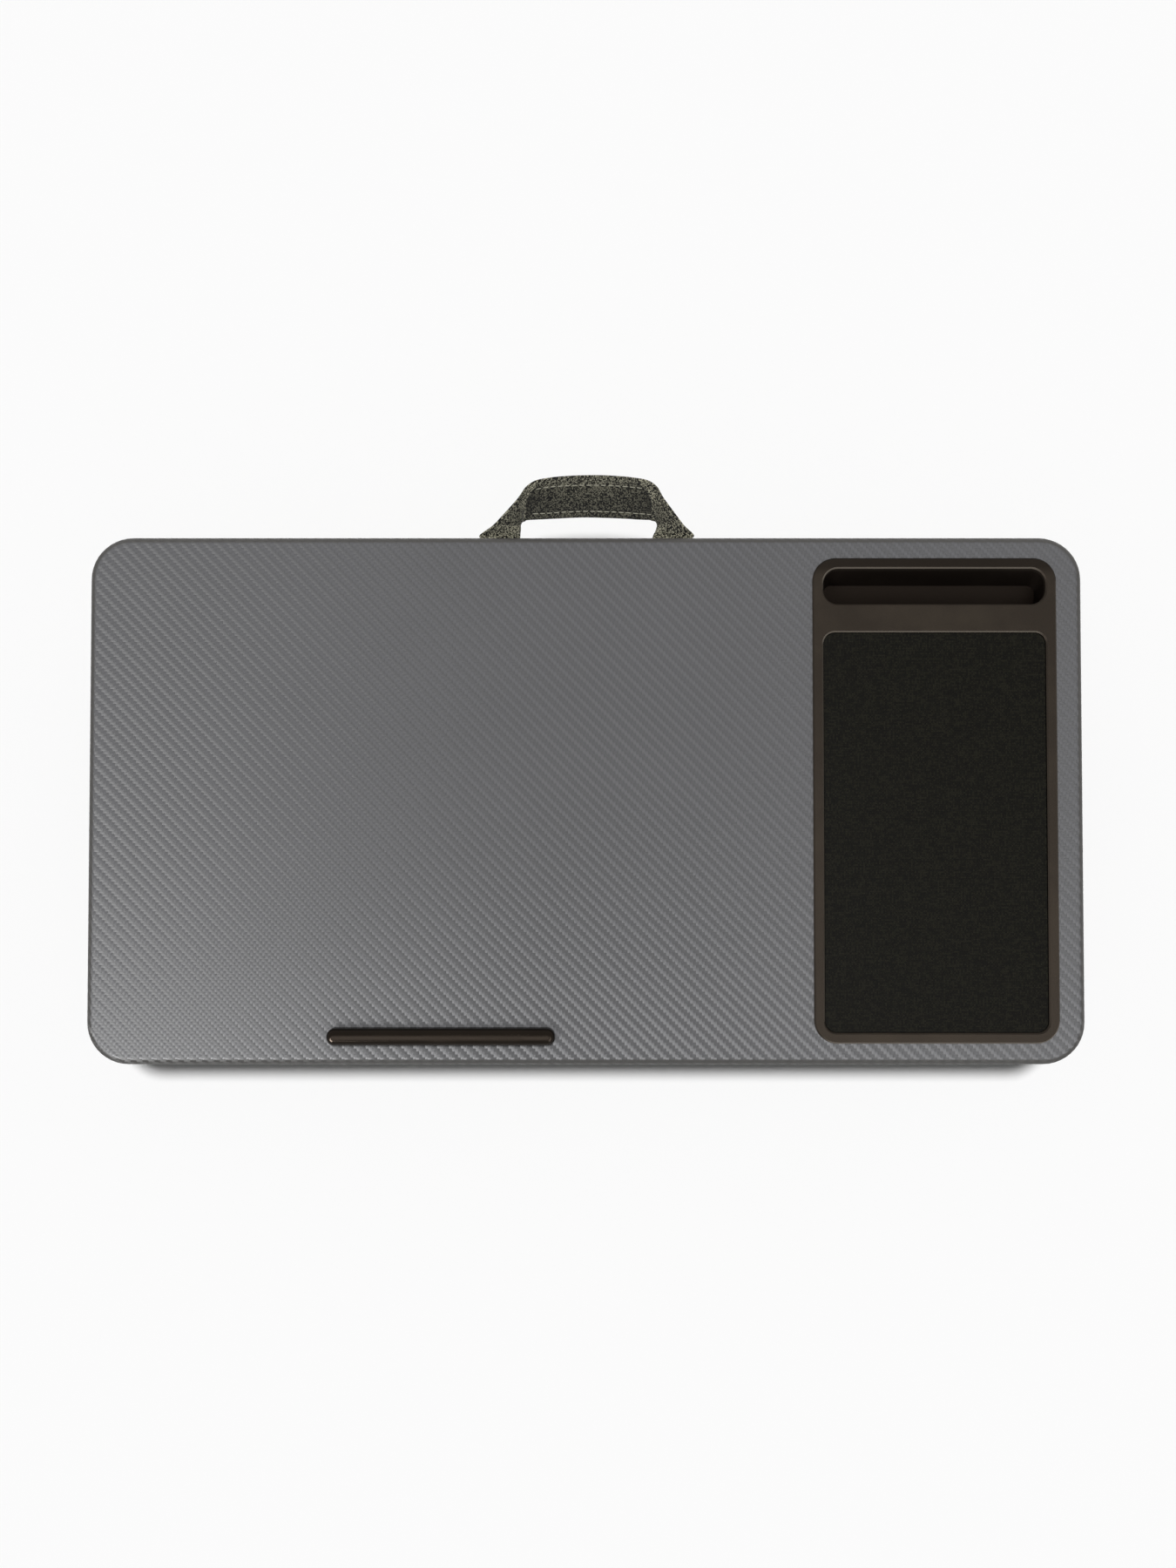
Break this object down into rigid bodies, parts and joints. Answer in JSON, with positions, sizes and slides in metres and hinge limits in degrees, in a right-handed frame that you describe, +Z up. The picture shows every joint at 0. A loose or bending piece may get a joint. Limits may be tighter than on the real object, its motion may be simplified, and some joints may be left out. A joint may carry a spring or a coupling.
{
  "type": "lap tray",
  "caption": "Lap tray with a twill-look board, moulded mouse tray with pad and leaning phone slot, laptop stop, bolster cushions and a padded carry strap.",
  "frame": {"origin": "on the surface that the cushions rest on, in the middle of the whole footprint, carry strap included", "axes": "+X to the user's right along the board's length, +Y away from the user towards the carry strap, +Z up"},
  "size_m": [0.566, 0.3354, 0.0709],
  "materials": {
    "board_core": "raw fibreboard",
    "twill_film": "embossed twill, satin",
    "black_plastic": "fine texture",
    "moulded_plastic": "satin moulded",
    "pad_cloth": "fine woven cloth",
    "pad_foam": "matt foam",
    "stop_plastic": "semi-gloss",
    "screw_steel": "zinc plated",
    "heather_fabric": "heathered knit",
    "stuffing": "fibre stuffing",
    "strap_fabric": "stitched woven fabric"
  },
  "bodies": {
    "tray": {"top_panel": "board_core", "carbon_film": "twill_film", "bottom_plate": "black_plastic", "mouse_tray": "moulded_plastic", "mouse_pad_cloth": "pad_cloth", "mouse_pad_foam": "pad_foam", "laptop_stop": "stop_plastic", "laptop_stop_screws": "screw_steel", "tray_screws": "screw_steel", "panel_screws": "screw_steel", "handle_tab_screws": "screw_steel", "front_cushion_cover": "heather_fabric", "rear_cushion_cover": "heather_fabric", "front_cushion_fill": "stuffing", "rear_cushion_fill": "stuffing", "handle_tab_left": "strap_fabric", "handle_tab_right": "strap_fabric"},
    "handle": {"handle_strap": "strap_fabric", "handle_padding": "pad_foam"}
  },
  "joints": [
    {"name": "handle_fold", "type": "hinge", "parent": "tray", "child": "handle", "pos_m": [0, 0.13495, 0.0521], "axis": [1, 0, 0], "range_deg": [-80, 50]}
  ]
}
